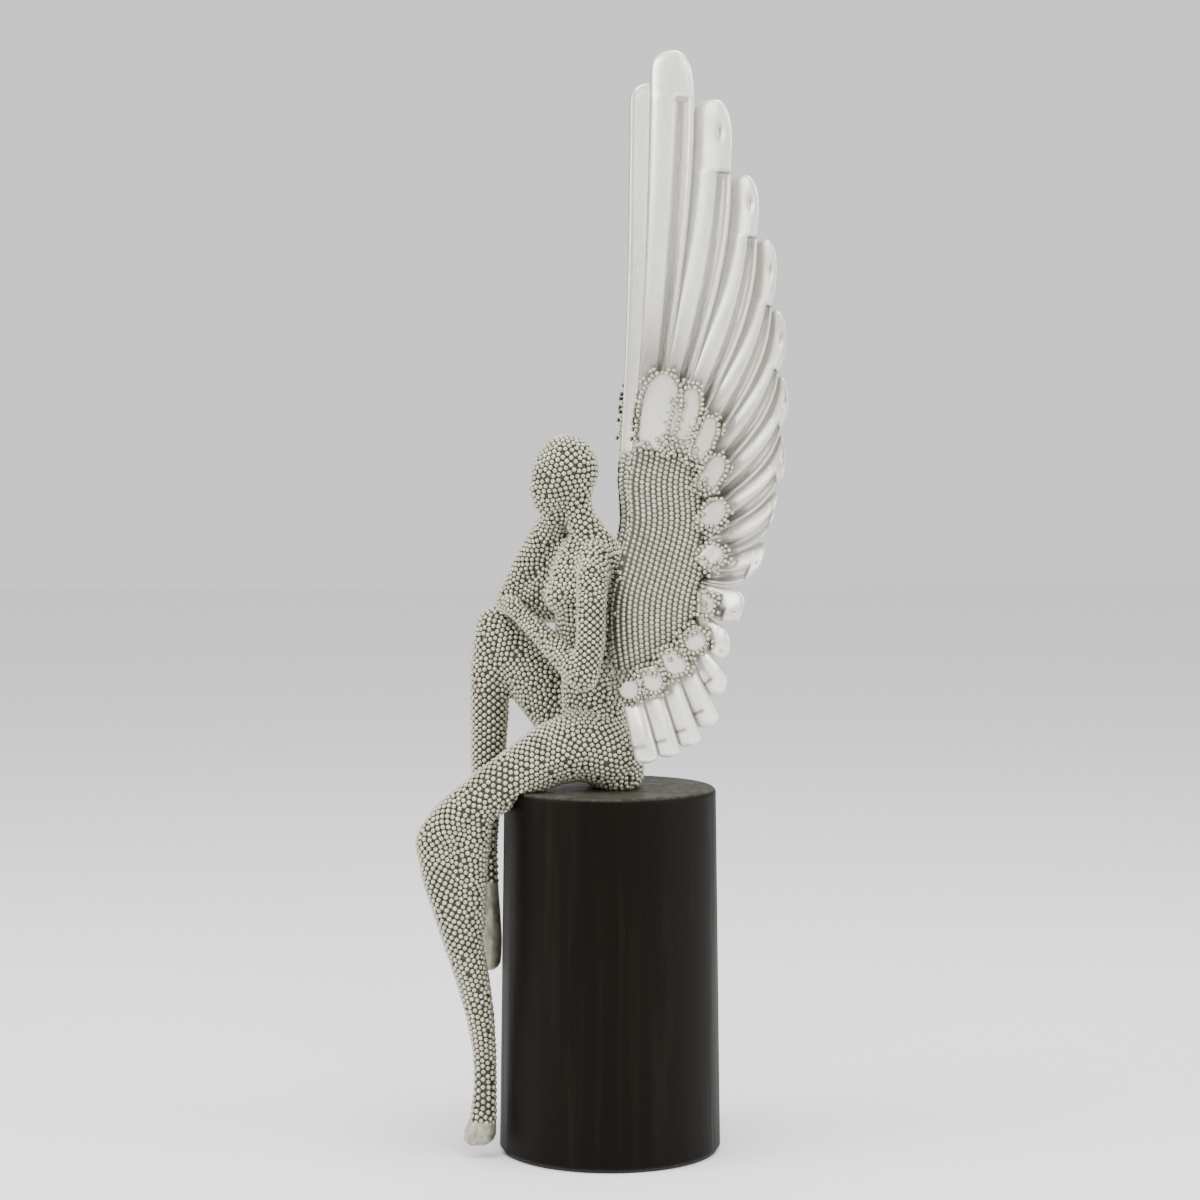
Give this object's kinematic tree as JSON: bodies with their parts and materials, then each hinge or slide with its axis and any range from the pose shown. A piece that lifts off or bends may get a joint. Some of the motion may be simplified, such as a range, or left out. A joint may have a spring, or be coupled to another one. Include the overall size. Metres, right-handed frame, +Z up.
{
  "type": "figure trophy",
  "caption": "Seated winged figure in beaded champagne-silver resin with swept-up feather wings, on a black turned wood base.",
  "frame": {"origin": "centre of the underside of the base, on the felt", "axes": "+Z up, the figure faces -Y, +X is the figure's left side"},
  "size_m": [0.1702, 0.2002, 0.6086],
  "materials": {
    "wood": "black stain with a low satin sheen",
    "felt": "black felt",
    "steel": "plain",
    "brass": "plain turned",
    "beaded_resin": "champagne silver paint with a dark wash between the beads",
    "silver_resin": "burnished silver leaf with a grey wash in the hollows"
  },
  "bodies": {
    "root": {"base_block": "wood", "felt_pad": "felt", "tie_rod": "steel", "base_washer": "steel", "base_nut": "steel", "thread_insert": "brass", "torso": "beaded_resin", "head": "beaded_resin", "neck_pin": "steel", "left_arm": "beaded_resin", "right_arm": "beaded_resin", "shoulder_pins": "steel", "left_leg": "beaded_resin", "right_leg": "beaded_resin", "hip_pins": "steel", "wing_pins": "steel", "left_wing_outer_shell": "beaded_resin", "left_wing_inner_shell": "beaded_resin", "left_wing_coverts": "silver_resin", "left_wing_covert_trim": "beaded_resin", "right_wing_outer_shell": "beaded_resin", "right_wing_inner_shell": "beaded_resin", "right_wing_coverts": "silver_resin", "right_wing_covert_trim": "beaded_resin", "left_feather_01": "silver_resin", "left_feather_02": "silver_resin", "left_feather_03": "silver_resin", "left_feather_04": "silver_resin", "left_feather_05": "silver_resin", "left_feather_06": "silver_resin", "left_feather_07": "silver_resin", "left_feather_08": "silver_resin", "left_feather_09": "silver_resin", "left_feather_10": "silver_resin", "left_feather_11": "silver_resin", "left_feather_12": "silver_resin", "left_feather_13": "silver_resin", "left_feather_14": "silver_resin", "left_feather_15": "silver_resin", "left_feather_16": "silver_resin", "right_feather_01": "silver_resin", "right_feather_02": "silver_resin", "right_feather_03": "silver_resin", "right_feather_04": "silver_resin", "right_feather_05": "silver_resin", "right_feather_06": "silver_resin", "right_feather_07": "silver_resin", "right_feather_08": "silver_resin", "right_feather_09": "silver_resin", "right_feather_10": "silver_resin", "right_feather_11": "silver_resin", "right_feather_12": "silver_resin", "right_feather_13": "silver_resin", "right_feather_14": "silver_resin", "right_feather_15": "silver_resin", "right_feather_16": "silver_resin"}
  },
  "joints": []
}
